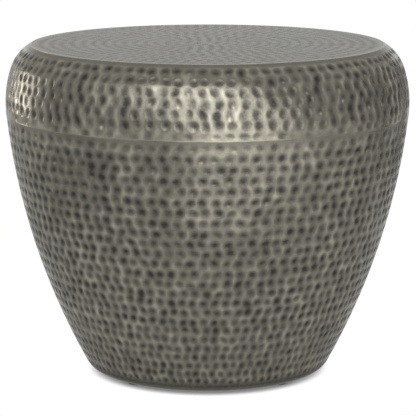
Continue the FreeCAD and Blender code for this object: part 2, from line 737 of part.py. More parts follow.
def make_table():
    """Build every sub-part of the table."""
    long_bar = make_brace_bar("brace_bar_long", "lap_cut_under", "lap_height", 0)
    countersink(
        long_bar, "centre_seat", None,
        "centre_cut_under", "centre_head_under", "ledge_height", "ledge_cut_top")
    cross_bar = make_brace_bar("brace_bar_cross", "lap_height", "ledge_cut_top", QUARTER_TURN)
    hole_sketch = new_sketch(cross_bar, "centre_hole_circle", "XY_Plane")
    add_circle(hole_sketch, None, "rivet_radius")
    pocket_through(cross_bar, "centre_hole", hole_sketch)
    return [
        make_top_disc(), make_crown_weld(), make_shoulder_shell(), make_seam_weld(), make_lower_shell(),
        long_bar, cross_bar, make_brace_rivets(), make_brace_centre_rivet(), make_base_ring(),
        *[make_foot_pad(number) for number in range(1, COUNT_OF_FEET + 1)],
        make_foot_screws(), make_foot_washers(), make_foot_nuts()]


def check_table(bodies):
    """Stop if any object failed to build or any sub-part has no sound solid."""
    for item in doc.Objects:
        if "Invalid" in item.State or "Error" in item.State:
            raise RuntimeError(f"{item.Name} failed: {item.State}")
    for body in bodies:
        if body.Shape.isNull() or not body.Shape.isValid() or not body.Shape.Solids:
            raise RuntimeError(f"{body.Label} has no sound solid")


def write_table(bodies):
    """Write each sub-part to its own file."""
    os.makedirs("parts", exist_ok=True)
    for body in bodies:
        body.Shape.exportStep(f"parts/{body.Label}.step")
        print(body.Label, len(body.Shape.Solids), "solids", round(body.Shape.Volume), "mm3")


fill_sheet()
table = make_table()
doc.recompute()
check_table(table)
write_table(table)
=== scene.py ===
import math

import bpy
import numpy as np
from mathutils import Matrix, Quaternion, Vector
from mathutils.geometry import delaunay_2d_cdt


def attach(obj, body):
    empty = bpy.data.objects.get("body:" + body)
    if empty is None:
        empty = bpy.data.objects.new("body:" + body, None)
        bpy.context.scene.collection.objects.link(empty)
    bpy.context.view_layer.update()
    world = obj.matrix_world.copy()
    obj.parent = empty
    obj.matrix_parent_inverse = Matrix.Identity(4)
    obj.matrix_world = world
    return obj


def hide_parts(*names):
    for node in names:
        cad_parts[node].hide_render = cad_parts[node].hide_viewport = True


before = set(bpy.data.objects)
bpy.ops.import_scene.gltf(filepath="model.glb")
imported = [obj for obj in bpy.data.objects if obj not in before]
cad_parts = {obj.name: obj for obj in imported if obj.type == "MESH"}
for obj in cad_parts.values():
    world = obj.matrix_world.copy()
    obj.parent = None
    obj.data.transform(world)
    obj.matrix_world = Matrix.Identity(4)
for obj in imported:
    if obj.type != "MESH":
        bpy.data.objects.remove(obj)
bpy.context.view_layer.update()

# The table's lengths are in millimetres and angles in degrees, as in the CAD sheet. Meshes are made in metres.
MM = 0.001
FULL_TURN = 2 * math.pi

# Sizes of the drum that the CAD sheet also holds.
TABLE_HEIGHT = 457.0
TABLE_WIDTH = 557.0
SHOULDER_RADIUS = 150.0
CROWN_RADIUS = 55.0
WALL_RADIUS = 942.0
BASE_CORNER_RADIUS = 24.0
SEAM_ANGLE = 6.2
CROWN_START_ANGLE = 19.0
CREASE_ANGLE = 62.7
SHEET = 1.6
SEAM_WELD_WIDTH = 2.4
SEAM_WELD_PROUD = 0.4
CROWN_WELD_WIDTH = 1.6
LEDGE_WIDTH = 22.0
RIVET_RADIUS = 2.5
RIVET_HEAD_RADIUS = 5.0
RIVET_ANGLE = 0.0
FLANGE_WIDTH = 30.0
BASE_RING_WIDTH = 24.0
RING_CLEARANCE = 0.5
FOOT_ANGLE = 45.0
FOOT_HEIGHT = 3.0
SCREW_HOLE_RADIUS = 2.2
COUNT_OF_HOLES = 4

# Places on the section that follow from them, as heights above the floor and distances from the axis.
CROWN_CENTRE_HEIGHT = TABLE_HEIGHT - CROWN_RADIUS * math.sin(math.radians(CREASE_ANGLE))
BELLY_HEIGHT = CROWN_CENTRE_HEIGHT - (SHOULDER_RADIUS - CROWN_RADIUS) * math.sin(
    math.radians(CROWN_START_ANGLE))
SHOULDER_CENTRE = TABLE_WIDTH / 2 - SHOULDER_RADIUS
CROWN_CENTRE = SHOULDER_CENTRE + (SHOULDER_RADIUS - CROWN_RADIUS) * math.cos(
    math.radians(CROWN_START_ANGLE))
CREASE = CROWN_CENTRE + CROWN_RADIUS * math.cos(math.radians(CREASE_ANGLE))
SEAM_HEIGHT = BELLY_HEIGHT - SHOULDER_RADIUS * math.sin(math.radians(SEAM_ANGLE))
SEAM_TOP_ANGLE = -math.degrees(
    math.asin((BELLY_HEIGHT - SEAM_HEIGHT - SEAM_WELD_WIDTH) / SHOULDER_RADIUS))
WALL_CENTRE = SHOULDER_CENTRE + (SHOULDER_RADIUS - WALL_RADIUS) * math.cos(math.radians(SEAM_ANGLE))
WALL_CENTRE_HEIGHT = BELLY_HEIGHT - (SHOULDER_RADIUS - WALL_RADIUS) * math.sin(math.radians(SEAM_ANGLE))
CORNER_HEIGHT = FOOT_HEIGHT + BASE_CORNER_RADIUS
CORNER_DROP = WALL_CENTRE_HEIGHT - CORNER_HEIGHT
CORNER_CENTRE = WALL_CENTRE + math.sqrt((WALL_RADIUS - BASE_CORNER_RADIUS) ** 2 - CORNER_DROP ** 2)
WALL_END_ANGLE = -math.degrees(math.asin(CORNER_DROP / (WALL_RADIUS - BASE_CORNER_RADIUS)))
LEDGE_TOP = TABLE_HEIGHT - SHEET
LEDGE_UNDER = LEDGE_TOP - SHEET
LEDGE_INNER = CREASE - LEDGE_WIDTH
LEDGE_END_ANGLE = math.degrees(math.asin((LEDGE_UNDER - CROWN_CENTRE_HEIGHT) / (CROWN_RADIUS - SHEET)))
RIVET_CIRCLE = CREASE - LEDGE_WIDTH / 2
TOP_RADIUS = CREASE - CROWN_WELD_WIDTH
FLANGE_INNER = CORNER_CENTRE - FLANGE_WIDTH
FLANGE_TOP = FOOT_HEIGHT + SHEET
SCREW_CIRCLE = CORNER_CENTRE - RING_CLEARANCE - BASE_RING_WIDTH / 2

# Hammer marks: rings of shallow bowls between ridges. Rings are placed by the length along the metal.
SEED = 7
DENTS_PER_RING = 99
RING_PITCH = 14.6
ROW_STAGGER = 0.125
STAGGER_SCATTER = 0.02
DENT_DEPTH = 1.28
DEEPEST = 1.28
POLISHED_OFF = 0.15
HALF_WIDTH_SHARE = 0.58
HALF_HEIGHT_SHARE = 0.61
LONG_SHARE = 0.82
BOWL_SHARE = 0.64
BOWL_EDGE = 1.4
REACH_IN_PITCHES = 1.9

# The wall's rings, counted from the foot. A strength is the range that the blows of a ring lie in. The upper
# rings carry painted glints in a share of their marks.
WALL_FIRST_RING = 31.0
WALL_RINGS = 25
WALL_FAINT_RINGS = 7
WALL_GLINT_RINGS = 6
WALL_SCATTER = 1.5
WALL_STRENGTH = (0.8, 1.12)
WALL_FAINT_STRENGTH = (0.72, 1.02)
WALL_LAST_STRENGTH = (0.5, 0.95)
WALL_GLINT_SHARE = 0.15

# The shoulder's rings, counted from the seam, and one dressed away beside the seam. All but the dressed one
# carry painted glints in a share of their marks.
SHOULDER_FIRST_RING = 17.8
SHOULDER_RINGS = 6
SHOULDER_LONG_RINGS = 4
SHOULDER_SCATTER = 1.4
SHOULDER_STRENGTH = (0.68, 0.98)
SHOULDER_LAST_STRENGTH = (0.72, 0.98)
SHOULDER_GLINT_SHARE = 0.2
DRESSED_RING = 3.6
DRESSED_STRENGTH = (0.0, 0.75)

# The top's rings, counted from its edge.
TOP_RING_PITCH = 14.3
TOP_DENT_DEPTH = 0.18
TOP_SMOOTH_EDGE = 6.0
TOP_LEAST_DENTS = 3

# How the marks differ: lengths, and shares of the space between marks or of a mark's own measure.
RING_WANDER = 0.9
WANDER_WAVES = 3
RUN_SCATTER = 0.5
TURN_SCATTER = 0.04
WIDTH_SCATTER = 0.045
HEIGHT_SCATTER = 0.07
SKEW_SCATTER = 0.12
DEPTH_SCATTER = 0.12
DEPTH_LIMITS = (0.6, 1.4)
TONE_MIDDLE = 0.97
TONE_SCATTER = 0.1
TONE_LIMITS = (0.7, 1.08)
# How strong a painted glint is where a mark has one.
GLINT_LIMITS = (0.3, 0.8)

# Patina: how fast it thins out from a mark's middle, and the painted glint, a light spot low in some marks
# that stands in for a lamp's reflection.
PATINA_STEEPNESS = 2.3
GLINT_STEEPNESS = 18.0
GLINT_DROP = 0.34

# Darkening outside the marks: painted shade at the foot's edge, over the foot and on the margin below the
# crease, and a darker band on each side of the seam; how dark each is, and where along the metal it begins and
# ends.
EDGE_PAINTED_SHADE = 0.28
EDGE_PAINTED_SHADE_END = 12.0
FOOT_PAINTED_SHADE = 0.75
FOOT_PAINTED_SHADE_FULL = 24.0
FOOT_PAINTED_SHADE_END = 34.0
SEAM_DARKENING = 0.3
SHOULDER_SEAM_DARKENING = 0.12
SEAM_DARKENING_WIDTH = 12.0
SEAM_DRESSED = 4.0
MARGIN_PAINTED_SHADE = 0.3
MARGIN_START = 94.0
MARGIN_FULL = 100.0

# The seam bead's crest, which wanders up and down its weld and sinks in places.
BEAD_WANDER_WAVES = range(2, 40)
BEAD_RISE_WAVES = range(3, 60)
BEAD_LEAST_SHARE = 0.15
BEAD_WANDER_SHARE = 0.3
BEAD_CREST_SHARE = 0.35

# How finely the metal is meshed.
COARSE_ROUND = 100
WALL_ROUND = 700
SHOULDER_ROUND = 1200
TOP_ROUND = 500
BEAD_ROUND = 720
HOLE_ROUND = 16
WALL_STEP = 2.95
SHOULDER_STEP = 1.5
TOP_STEP = 2.1
INSIDE_STEP = 22.0
TOP_UNDER_SHARES = (1 / 3, 1)
SHARP_ANGLE = 40.0
SAME_POINT = 1e-6

# The material slots of a sheet's faces.
OUTSIDE, INSIDE = 0, 1


class Outline:
    """A run of arcs up the section of a turned shell, read by the length along it."""

    def __init__(self, *arcs):
        centre, height, radius, start, end = np.array(arcs, float).T
        self.centre, self.height, self.radius = centre, height, radius
        self.start = np.radians(start)
        lengths = radius * np.radians(end - start)
        self.begins = np.concatenate([[0], np.cumsum(lengths)[:-1]])
        self.length = float(lengths.sum())

    def at(self, run):
        """Return distance from the axis, height, and the two parts of the outward normal."""
        run = np.clip(np.asarray(run, float), 0, self.length)
        arc = np.clip(np.searchsorted(self.begins, run, side="right") - 1, 0, len(self.begins) - 1)
        angle = self.start[arc] + (run - self.begins[arc]) / self.radius[arc]
        away, up = np.cos(angle), np.sin(angle)
        return self.centre[arc] + self.radius[arc] * away, self.height[arc] + self.radius[arc] * up, away, up

    def steps(self, step):
        """Return evenly spaced lengths from end to end, about one step apart."""
        return np.linspace(0, self.length, max(2, round(self.length / step)) + 1)


class FlatTop:
    """The level top, read by the length inwards from its edge."""

    def at(self, run):
        """Return what an outline does: distance, height and normal."""
        away = np.maximum(TOP_RADIUS - np.asarray(run, float), 0)
        return away, 0 * away + TABLE_HEIGHT, 0 * away, 0 * away + 1

    def steps(self, step):
        """Return evenly spaced lengths from the edge to one step short of the middle."""
        return np.linspace(0, TOP_RADIUS - step, round(TOP_RADIUS / step))


FLAT_TOP = FlatTop()
WALL_OUTSIDE = Outline(
    (CORNER_CENTRE, CORNER_HEIGHT, BASE_CORNER_RADIUS, -90, WALL_END_ANGLE),
    (WALL_CENTRE, WALL_CENTRE_HEIGHT, WALL_RADIUS, WALL_END_ANGLE, -SEAM_ANGLE))
WALL_INSIDE = Outline(
    (CORNER_CENTRE, CORNER_HEIGHT, BASE_CORNER_RADIUS - SHEET, -90, WALL_END_ANGLE),
    (WALL_CENTRE, WALL_CENTRE_HEIGHT, WALL_RADIUS - SHEET, WALL_END_ANGLE, -SEAM_ANGLE))
SHOULDER_OUTSIDE = Outline(
    (SHOULDER_CENTRE, BELLY_HEIGHT, SHOULDER_RADIUS, SEAM_TOP_ANGLE, CROWN_START_ANGLE),
    (CROWN_CENTRE, CROWN_CENTRE_HEIGHT, CROWN_RADIUS, CROWN_START_ANGLE, CREASE_ANGLE))
SHOULDER_INSIDE = Outline(
    (SHOULDER_CENTRE, BELLY_HEIGHT, SHOULDER_RADIUS - SHEET, SEAM_TOP_ANGLE, CROWN_START_ANGLE),
    (CROWN_CENTRE, CROWN_CENTRE_HEIGHT, CROWN_RADIUS - SHEET, CROWN_START_ANGLE, LEDGE_END_ANGLE))


def around(count):
    """Return evenly spaced turns about the axis."""
    return np.arange(count) * (FULL_TURN / count)


def circle(radius, height, count, middle=(0.0, 0.0)):
    """Return the points of a level circle."""
    turns = around(count)
    return np.stack(
        [middle[0] + radius * np.cos(turns), middle[1] + radius * np.sin(turns), np.full(count, height)], 1)


class Strikes:
    """One ring of hammer marks: each has its turn about the axis, its run, half sizes, depth and darkness."""

    def __init__(
            self, random, outline, run, count, phase, pitch, depth, scatter=1.0, strength=(1.0, 1.0),
            height_share=HALF_HEIGHT_SHARE, glint_share=0.0):
        space = FULL_TURN / count
        width = float(outline.at(run)[0]) * space
        wander = RING_WANDER * random.uniform() * np.cos(
            WANDER_WAVES * around(count) + random.uniform(0, FULL_TURN))
        struck = random.uniform(*strength, count)
        self.count, self.phase, self.run = count, phase, run
        self.turns = (np.arange(count) + phase + random.normal(0, TURN_SCATTER * scatter, count)) * space
        self.runs = run + wander + random.normal(0, RUN_SCATTER * scatter, count)
        self.half_width = HALF_WIDTH_SHARE * width * random.normal(1, WIDTH_SCATTER * scatter, count)
        self.half_height = height_share * pitch * random.normal(1, HEIGHT_SCATTER * scatter, count)
        self.skew = random.normal(0, SKEW_SCATTER * scatter, count)
        blow = np.clip(random.normal(1, DEPTH_SCATTER, count), *DEPTH_LIMITS)
        self.depths = depth * min(1.0, width / pitch) * struck * blow
        self.tones = struck * np.clip(random.normal(TONE_MIDDLE, TONE_SCATTER, count), *TONE_LIMITS)
        # A share of the marks get a painted glint: a light spot low in the mark in place of a lamp's
        # reflection.
        self.wear_and_sheen = random.uniform(*GLINT_LIMITS, count) * (random.uniform(0, 1, count) < glint_share)

    def near(self, turns):
        """Return the numbers of the three marks nearest to each turn."""
        nearest = np.round(turns * (self.count / FULL_TURN) - self.phase).astype(int)
        return [(nearest + step) % self.count for step in (-1, 0, 1)]

    def offset(self, marks, turns, run, away):
        """Return how far places lie from marks, across and along, in the marks' own half sizes."""
        swing = (turns - self.turns[marks] + math.pi) % FULL_TURN - math.pi
        along = (run - self.runs[marks]) / self.half_height[marks]
        return swing * away / self.half_width[marks] + self.skew[marks] * along, along


def strike(rings, turns, run, away, pitch):
    """Return how deep the metal is struck in along one level of points, and how much patina lies there, less
    the painted glints.
    """
    depth, patina_and_painted_light = np.zeros(len(turns)), np.zeros(len(turns))
    for ring in rings:
        if abs(ring.run - run) > REACH_IN_PITCHES * pitch:
            continue
        laid = np.zeros(len(turns))
        for marks in ring.near(turns):
            across, along = ring.offset(marks, turns, run, away)
            reach = across ** 2 + along ** 2
            # A painted glint lifts the patina from a small spot low in the mark.
            glint_reach = across ** 2 + (along + GLINT_DROP) ** 2
            depth += ring.depths[marks] * np.maximum(0, 1 - reach / BOWL_SHARE ** 2) ** BOWL_EDGE
            laid = np.maximum(laid, ring.tones[marks] * np.exp(-PATINA_STEEPNESS * reach))
            patina_and_painted_light -= ring.wear_and_sheen[marks] * np.exp(-GLINT_STEEPNESS * glint_reach)
        patina_and_painted_light += laid
    return np.minimum(depth, DEEPEST), np.clip(patina_and_painted_light, 0, 1)


def staggered(random, ring):
    """Return the share of a space that a ring is turned by, so that rows zigzag."""
    return ROW_STAGGER * (-1) ** ring + random.normal(0, STAGGER_SCATTER)


def wall_strikes(random):
    """The rings on the lower shell; the last one is part dressed away beside the seam."""
    rings = []
    for ring in range(WALL_RINGS):
        strength = WALL_FAINT_STRENGTH if ring < WALL_FAINT_RINGS else WALL_STRENGTH
        if ring == WALL_RINGS - 1:
            strength = WALL_LAST_STRENGTH
        # The upper rings carry painted glints in some of their marks.
        glint_share = WALL_GLINT_SHARE if ring >= WALL_RINGS - WALL_GLINT_RINGS else 0.0
        rings.append(Strikes(
            random, WALL_OUTSIDE, WALL_FIRST_RING + RING_PITCH * ring, DENTS_PER_RING,
            staggered(random, ring), RING_PITCH, DENT_DEPTH, WALL_SCATTER, strength,
            glint_share=glint_share))
    return rings


def shoulder_strikes(random):
    """The rings on the shoulder, and one beside the seam of which little is left."""
    rings = [Strikes(
        random, SHOULDER_OUTSIDE, DRESSED_RING, DENTS_PER_RING, staggered(random, 1), RING_PITCH,
        DENT_DEPTH, SHOULDER_SCATTER, DRESSED_STRENGTH)]
    for ring in range(SHOULDER_RINGS):
        strength = SHOULDER_LAST_STRENGTH if ring == SHOULDER_RINGS - 1 else SHOULDER_STRENGTH
        height_share = LONG_SHARE if ring < SHOULDER_LONG_RINGS else HALF_HEIGHT_SHARE
        # These rings carry painted glints in some of their marks.
        rings.append(Strikes(
            random, SHOULDER_OUTSIDE, SHOULDER_FIRST_RING + RING_PITCH * ring, DENTS_PER_RING,
            staggered(random, ring), RING_PITCH, DENT_DEPTH, SHOULDER_SCATTER, strength, height_share,
            SHOULDER_GLINT_SHARE))
    return rings


def top_strikes(random):
    """Shallow rings of marks on the flat top."""
    rings = []
    for ring in range(int((TOP_RADIUS - TOP_SMOOTH_EDGE) / TOP_RING_PITCH)):
        run = TOP_SMOOTH_EDGE + TOP_RING_PITCH * (ring + 0.5)
        count = max(TOP_LEAST_DENTS, round(FULL_TURN * (TOP_RADIUS - run) / TOP_RING_PITCH))
        rings.append(Strikes(
            random, FLAT_TOP, run, count, random.uniform(), TOP_RING_PITCH, TOP_DENT_DEPTH))
    return rings


class Sheet:
    """One closed piece of sheet metal, made of rings of points and the faces between them.

    Rings run anticlockwise seen from above, and the section runs up the outside and down the inside.
    """

    def __init__(self):
        self.points = []
        self.count = 0
        self.faces = []
        self.sides = []

    def ring(self, points):
        """Add a ring and return the numbers of its points."""
        self.points.append(np.asarray(points, float))
        numbers = np.arange(self.count, self.count + len(points))
        self.count += len(points)
        return numbers

    def add_faces(self, faces, side):
        """Add faces that take the material of one side."""
        self.faces.extend(faces)
        self.sides.extend([side] * len(faces))

    def band(self, first, second, side):
        """Join two rings of the same count."""
        quads = np.stack([first, np.roll(first, -1), np.roll(second, -1), second], 1)
        self.add_faces(quads.tolist(), side)

    def graded_band(self, first, second, side):
        """Join two rings of which one has a whole number of times the other's points."""
        fine, coarse = (first, second) if len(first) > len(second) else (second, first)
        ratio = len(fine) // len(coarse)
        triangles = []
        for i in range(len(fine)):
            near = coarse[((i + ratio // 2) // ratio) % len(coarse)]
            after = coarse[((i + 1 + ratio // 2) // ratio) % len(coarse)]
            step = (fine[i], fine[(i + 1) % len(fine)])
            triangles.append((*step, near))
            if after != near:
                triangles.append((step[1], after, near))
        if fine is second:
            triangles = [triangle[::-1] for triangle in triangles]
        self.add_faces([tuple(int(i) for i in triangle) for triangle in triangles], side)

    def chain(self, rings, side):
        """Join rings one after another."""
        for first, second in zip(rings, rings[1:]):
            if len(first) == len(second):
                self.band(first, second, side)
            else:
                self.graded_band(first, second, side)

    def fan(self, ring, middle, side):
        """Close a ring to a middle point, facing up where the ring lies on top."""
        numbers = ring.tolist()
        pairs = zip(numbers, numbers[1:] + numbers[:1])
        self.add_faces([(a, b, middle) if side == OUTSIDE else (b, a, middle) for a, b in pairs], side)

    def flat_ring(self, outer, inner, holes, faces_up, side):
        """Fill the level space between two rings, leaving round holes open."""
        points = np.concatenate(self.points)
        loops = [outer, inner, *holes]
        numbers = np.concatenate(loops)
        flat = points[numbers][:, :2]
        edges, begin = [], 0
        for loop in loops:
            edges += [(begin + i, begin + (i + 1) % len(loop)) for i in range(len(loop))]
            begin += len(loop)
        _, _, triangles, sources, _, _ = delaunay_2d_cdt(
            [Vector(point) for point in flat], edges, [], 0, SAME_POINT)
        gaps = []
        for loop in (inner, *holes):
            centre = points[loop][:, :2].mean(0)
            clear = np.hypot(*(points[loop[0]][:2] - centre)) * math.cos(math.pi / len(loop))
            gaps.append((centre, clear))
        kept = []
        for triangle in triangles:
            corners = [sources[corner][0] for corner in triangle]
            middle = flat[corners].mean(0)
            if any(np.hypot(*(middle - centre)) < clear for centre, clear in gaps):
                continue
            order = corners if faces_up else corners[::-1]
            kept.append([int(numbers[corner]) for corner in order])
        self.add_faces(kept, side)

    def build(self, name, patina_and_painted_light=None):
        """Make the Blender object, with patina and painted light noted on its first points, those of the
        hammered skin.
        """
        mesh = bpy.data.meshes.new(name)
        mesh.from_pydata((np.concatenate(self.points) * MM).tolist(), [], self.faces)
        mesh.polygons.foreach_set("material_index", self.sides)
        mesh.polygons.foreach_set("use_smooth", [True] * len(mesh.polygons))
        if patina_and_painted_light is not None:
            noted = np.zeros(self.count)
            noted[:len(patina_and_painted_light)] = patina_and_painted_light
            mesh.attributes.new("patina_and_painted_light", "FLOAT", "POINT").data.foreach_set("value", noted)
        mesh.set_sharp_from_angle(angle=math.radians(SHARP_ANGLE))
        mesh.validate()
        piece = bpy.data.objects.new(name, mesh)
        bpy.context.scene.collection.objects.link(piece)
        return piece


def hammered_skin(
        sheet, outline, step, count, strikes, pitch, painted_shade_and_darkening=lambda run: 0.0, struck=lambda run: 1.0):
    """Add the outside of a piece, struck in by rings of marks, and return its rings and their patina and
    painted light.

    The darkening outside the marks, mostly painted shade, and struck, the share of its depth that the metal
    keeps, both go by the length along the metal.
    """
    turns = around(count)
    rings, patinas_and_painted_light = [], []
    for run in outline.steps(step):
        away, height, normal_away, normal_up = outline.at(run)
        depth, patina_and_painted_light = strike(strikes, turns, run, away, pitch)
        depth = (depth + POLISHED_OFF) * struck(run)
        spoke = away - depth * normal_away
        rings.append(sheet.ring(np.stack(
            [spoke * np.cos(turns), spoke * np.sin(turns), height - depth * normal_up], 1)))
        patinas_and_painted_light.append(np.maximum(patina_and_painted_light, painted_shade_and_darkening(run)))
    sheet.chain(rings, OUTSIDE)
    return rings, np.concatenate(patinas_and_painted_light)


def inside_rings(sheet, outline):
    """Add the plain rings of a shell's inside, from its upper end down."""
    rings = []
    for run in outline.steps(INSIDE_STEP)[::-1]:
        away, height, _, _ = (float(value) for value in outline.at(run))
        rings.append(sheet.ring(circle(away, height, COARSE_ROUND)))
    return rings


def hole_middles(distance, first_angle):
    """Return the middles of evenly spaced holes round the axis."""
    turns = math.radians(first_angle) + around(COUNT_OF_HOLES)
    return [(distance * math.cos(turn), distance * math.sin(turn)) for turn in turns]


def hole_rings(sheet, radius, height, middles):
    """Add the rims of round holes at one level."""
    return [sheet.ring(circle(radius, height, HOLE_ROUND, middle)) for middle in middles]


def make_lower_shell(random):
    """The hammered wall with its rounded foot, the in-turned flange and its screw holes."""
    sheet = Sheet()
    seam = WALL_OUTSIDE.length
    # Painted shade darkens the foot's edge and the foot, and the wall is darker just below the seam.
    darkening_places = (EDGE_PAINTED_SHADE_END, FOOT_PAINTED_SHADE_FULL, FOOT_PAINTED_SHADE_END, seam - SEAM_DARKENING_WIDTH, seam - SEAM_DRESSED)
    darkening_levels = (EDGE_PAINTED_SHADE, FOOT_PAINTED_SHADE, 0, 0, SEAM_DARKENING)
    skin, patina_and_painted_light = hammered_skin(
        sheet, WALL_OUTSIDE, WALL_STEP, WALL_ROUND, wall_strikes(random), RING_PITCH,
        lambda run: np.interp(run, darkening_places, darkening_levels),
        lambda run: np.interp(seam - run, (0, SEAM_DRESSED), (0, 1)))
    inside = inside_rings(sheet, WALL_INSIDE)
    edge_top = sheet.ring(circle(FLANGE_INNER, FLANGE_TOP, COARSE_ROUND))
    edge_under = sheet.ring(circle(FLANGE_INNER, FOOT_HEIGHT, COARSE_ROUND))
    middles = hole_middles(SCREW_CIRCLE, FOOT_ANGLE)
    holes_under = hole_rings(sheet, SCREW_HOLE_RADIUS, FOOT_HEIGHT, middles)
    holes_top = hole_rings(sheet, SCREW_HOLE_RADIUS, FLANGE_TOP, middles)

    sheet.chain([skin[-1], inside[0]], INSIDE)
    sheet.chain(inside, INSIDE)
    sheet.flat_ring(inside[-1], edge_top, holes_top, True, INSIDE)
    sheet.band(edge_top, edge_under, INSIDE)
    sheet.flat_ring(skin[0], edge_under, holes_under, False, INSIDE)
    for top, under in zip(holes_top, holes_under):
        sheet.band(top, under, INSIDE)
    return sheet.build("lower_shell_hammered", patina_and_painted_light)


def make_shoulder_shell(random):
    """The hammered shoulder and crown, with the ledge that the top lies on and its rivet seats."""
    sheet = Sheet()
    # The shoulder is a little darker just above the seam, and painted shade darkens the margin below the
    # crease.
    darkening_places = (SEAM_DRESSED, SEAM_DARKENING_WIDTH, MARGIN_START, MARGIN_FULL)
    darkening_levels = (SHOULDER_SEAM_DARKENING, 0, 0, MARGIN_PAINTED_SHADE)
    skin, patina_and_painted_light = hammered_skin(
        sheet, SHOULDER_OUTSIDE, SHOULDER_STEP, SHOULDER_ROUND, shoulder_strikes(random), RING_PITCH,
        lambda run: np.interp(run, darkening_places, darkening_levels),
        lambda run: np.interp(run, (0, SEAM_DRESSED), (0, 1)))
    rebate = sheet.ring(circle(CREASE, LEDGE_TOP, COARSE_ROUND))
    lip_top = sheet.ring(circle(LEDGE_INNER, LEDGE_TOP, COARSE_ROUND))
    lip_under = sheet.ring(circle(LEDGE_INNER, LEDGE_UNDER, COARSE_ROUND))
    inside = inside_rings(sheet, SHOULDER_INSIDE)
    middles = hole_middles(RIVET_CIRCLE, RIVET_ANGLE)
    seats_top = hole_rings(sheet, RIVET_HEAD_RADIUS, LEDGE_TOP, middles)
    seats_under = hole_rings(sheet, RIVET_RADIUS, LEDGE_UNDER, middles)

    sheet.chain([skin[-1], rebate], INSIDE)
    sheet.flat_ring(rebate, lip_top, seats_top, True, INSIDE)
    sheet.band(lip_top, lip_under, INSIDE)
    sheet.flat_ring(inside[0], lip_under, seats_under, False, INSIDE)
    sheet.chain(inside, INSIDE)
    sheet.chain([inside[-1], skin[0]], INSIDE)
    for top, under in zip(seats_top, seats_under):
        sheet.band(top, under, INSIDE)
    return sheet.build("shoulder_shell_hammered", patina_and_painted_light)


def make_top(random):
    """The flat top with its shallow hammer marks."""
    sheet = Sheet()
    skin, patina_and_painted_light = hammered_skin(
        sheet, FLAT_TOP, TOP_STEP, TOP_ROUND, top_strikes(random), TOP_RING_PITCH)
    middle_top = int(sheet.ring([(0.0, 0.0, TABLE_HEIGHT)])[0])
    under = [
        sheet.ring(circle(share * TOP_RADIUS, LEDGE_TOP, COARSE_ROUND)) for share in TOP_UNDER_SHARES]
    middle_under = int(sheet.ring([(0.0, 0.0, LEDGE_TOP)])[0])

    sheet.fan(skin[-1], middle_top, OUTSIDE)
    sheet.fan(under[0], middle_under, INSIDE)
    sheet.chain(under, INSIDE)
    sheet.chain([under[-1], skin[0]], INSIDE)
    return sheet.build("top_disc_hammered", patina_and_painted_light)


def waviness(random, turns, waves):
    """Return a seeded wave round the axis, from -1 to 1, in which longer waves are the higher ones."""
    wave = sum(
        random.normal(0, 1) / count * np.cos(count * turns + random.uniform(0, FULL_TURN)) for count in waves)
    return wave / np.abs(wave).max()


def make_seam_bead(random):
    """The weld between the shells, dressed by hand so that its crest wanders and all but fades in places."""
    turns = around(BEAD_ROUND)
    wander = BEAD_WANDER_SHARE * waviness(random, turns, BEAD_WANDER_WAVES)
    rise = 0.5 + 0.5 * waviness(random, turns, BEAD_RISE_WAVES)
    crest = SHOULDER_RADIUS + SEAM_WELD_PROUD * (BEAD_LEAST_SHARE + (1 - BEAD_LEAST_SHARE) * rise)
    low, high = math.radians(-SEAM_ANGLE), math.radians(SEAM_TOP_ANGLE)
    middle, half = (low + high) / 2, (high - low) / 2

    def section(depth, angle):
        away = SHOULDER_CENTRE + depth * np.cos(angle)
        height = BELLY_HEIGHT + depth * np.sin(angle)
        return np.stack([away * np.cos(turns), away * np.sin(turns), height + 0 * turns], 1)

    sheet = Sheet()
    rings = [
        sheet.ring(points) for points in (
            section(SHOULDER_RADIUS - SHEET, low),
            section(SHOULDER_RADIUS, low),
            section(crest, middle + half * (wander - BEAD_CREST_SHARE)),
            section(crest, middle + half * (wander + BEAD_CREST_SHARE)),
            section(SHOULDER_RADIUS, high),
            section(SHOULDER_RADIUS - SHEET, high))]
    sheet.chain(rings + rings[:1], OUTSIDE)
    return sheet.build("seam_bead")


# Colours are linear and are what the metal shows under even white light.
METAL = (0.196, 0.187, 0.152, 1)
# The pale metal of the rubbed high ground is partly a painted highlight along the ridges.
METAL_PALE = (0.305, 0.292, 0.238, 1)
# The patina colour also paints shade on the foot and on the margin below the crease.
PATINA_AND_PAINTED_SHADE = (0.041, 0.039, 0.034, 1)
EDGE_TINT = (0.65, 0.65, 0.64, 1)
TOP_METAL = (0.172, 0.165, 0.138, 1)
TOP_METAL_PALE = (0.190, 0.182, 0.152, 1)
TOP_PATINA = (0.072, 0.069, 0.060, 1)
TOP_EDGE_TINT = (0.535, 0.535, 0.52, 1)
CREASE_METAL = (0.192, 0.184, 0.149, 1)
WELD_METAL = (0.196, 0.187, 0.150, 1)
INSIDE_METAL = (0.30, 0.30, 0.29, 1)
ZINC = (0.52, 0.52, 0.50, 1)
RIVET_METAL = (0.60, 0.60, 0.59, 1)
PAINT = (0.018, 0.018, 0.019, 1)
PAINT_DUST = (0.045, 0.043, 0.040, 1)
RUBBER = (0.020, 0.020, 0.021, 1)
RUBBER_DUST = (0.060, 0.057, 0.052, 1)

# Roughness of the smooth metals, and of the hammered ones with what the patina adds to it.
ROUGHNESS, DULLNESS = 0.16, 0.26
TOP_ROUGHNESS, TOP_DULLNESS = 0.24, 0.07
WELD_ROUGHNESS = 0.2
ZINC_ROUGHNESS = 0.3
RIVET_ROUGHNESS = 0.34

# How bright the dull patches of smooth metal are, and the tool rings inside, in radians per metre of height.
HANDLED_SHARE = 0.72
SPUN_SHARE = 0.6
SPINNING_RINGS = 2600.0

